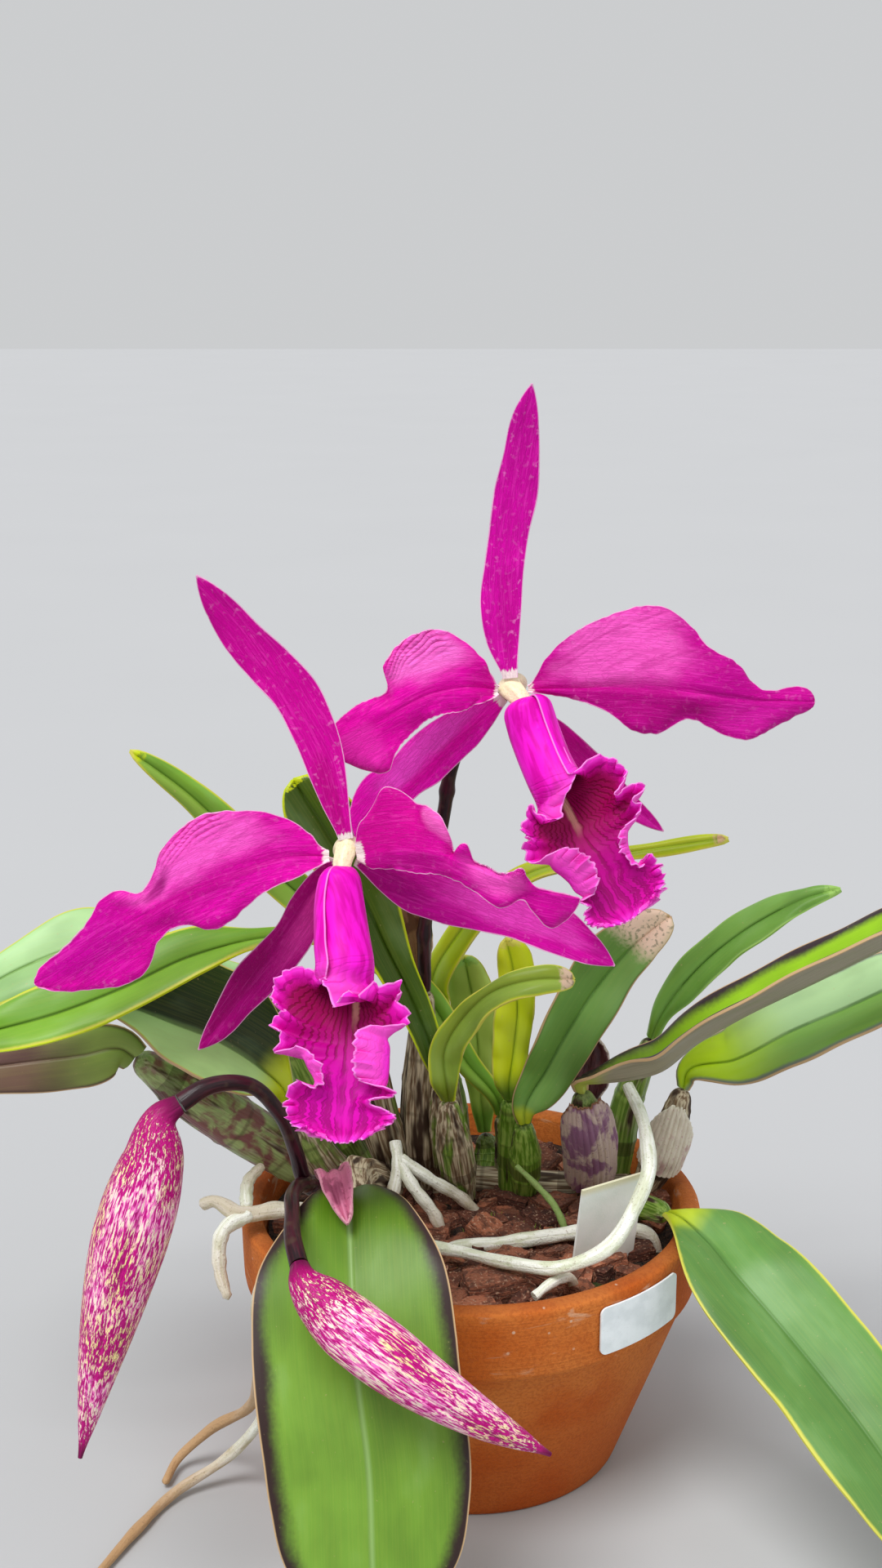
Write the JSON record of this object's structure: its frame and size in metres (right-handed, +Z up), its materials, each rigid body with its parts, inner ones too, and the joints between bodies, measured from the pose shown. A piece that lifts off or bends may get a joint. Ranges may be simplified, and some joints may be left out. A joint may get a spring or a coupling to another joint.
{
  "type": "potted cattleya orchid",
  "caption": "Potted orchid with magenta flowers, speckled buds, leathery leaves and pale roots in a low clay pot of bark mix.",
  "frame": {"origin": "centre of the pot's foot, on the surface that it stands on", "axes": "+Z up out of the pot, -Y towards the side that the flowers face, +X to that viewer's right"},
  "size_m": [0.33, 0.2058, 0.3252],
  "materials": {
    "clay": "unglazed, matt",
    "bark": "rough",
    "tag_plastic": "matt",
    "label_paper": "coated",
    "leaf_green": "waxy sheen",
    "petal_magenta": "soft satin",
    "lip_magenta": "soft satin",
    "column_cream": "waxy",
    "stem_purple": "satin",
    "bract_purple": "satin",
    "bud_speckled": "waxy",
    "bulb_green": "satin",
    "root_white": "matt",
    "sheath_paper": "dry, papery"
  },
  "bodies": {
    "root": {"bud_bract": "bract_purple", "bud_front": "bud_speckled", "bud_left": "bud_speckled", "bud_stem": "stem_purple", "bulb_sheath_purple": "sheath_paper", "bulb_sheath_white": "sheath_paper", "flower_sheath": "sheath_paper", "flower_stem": "stem_purple", "high_column": "column_cream", "high_dorsal_sepal": "petal_magenta", "high_lip": "lip_magenta", "high_petal_left": "petal_magenta", "high_petal_right": "petal_magenta", "high_sepal_left": "petal_magenta", "high_sepal_right": "petal_magenta", "leaf_01": "leaf_green", "leaf_02": "leaf_green", "leaf_03": "leaf_green", "leaf_04": "leaf_green", "leaf_05": "leaf_green", "leaf_06": "leaf_green", "leaf_07": "leaf_green", "leaf_08": "leaf_green", "leaf_09": "leaf_green", "leaf_10": "leaf_green", "leaf_11": "leaf_green", "leaf_12": "leaf_green", "leaf_13": "leaf_green", "leaf_14": "leaf_green", "leaf_15": "leaf_green", "leaf_16": "leaf_green", "leaf_sheath_maroon": "sheath_paper", "low_column": "column_cream", "low_dorsal_sepal": "petal_magenta", "low_lip": "lip_magenta", "low_petal_left": "petal_magenta", "low_petal_right": "petal_magenta", "low_sepal_left": "petal_magenta", "low_sepal_right": "petal_magenta", "plant_tag": "tag_plastic", "pot": "clay", "pot_label": "label_paper", "potting_mix": "bark", "pseudobulbs": "bulb_green", "root_across": "root_white", "root_arch": "root_white", "root_fork": "root_white", "root_green": "root_white", "root_left": "root_white", "root_stub": "root_white", "root_trailing": "root_white"}
  },
  "joints": []
}
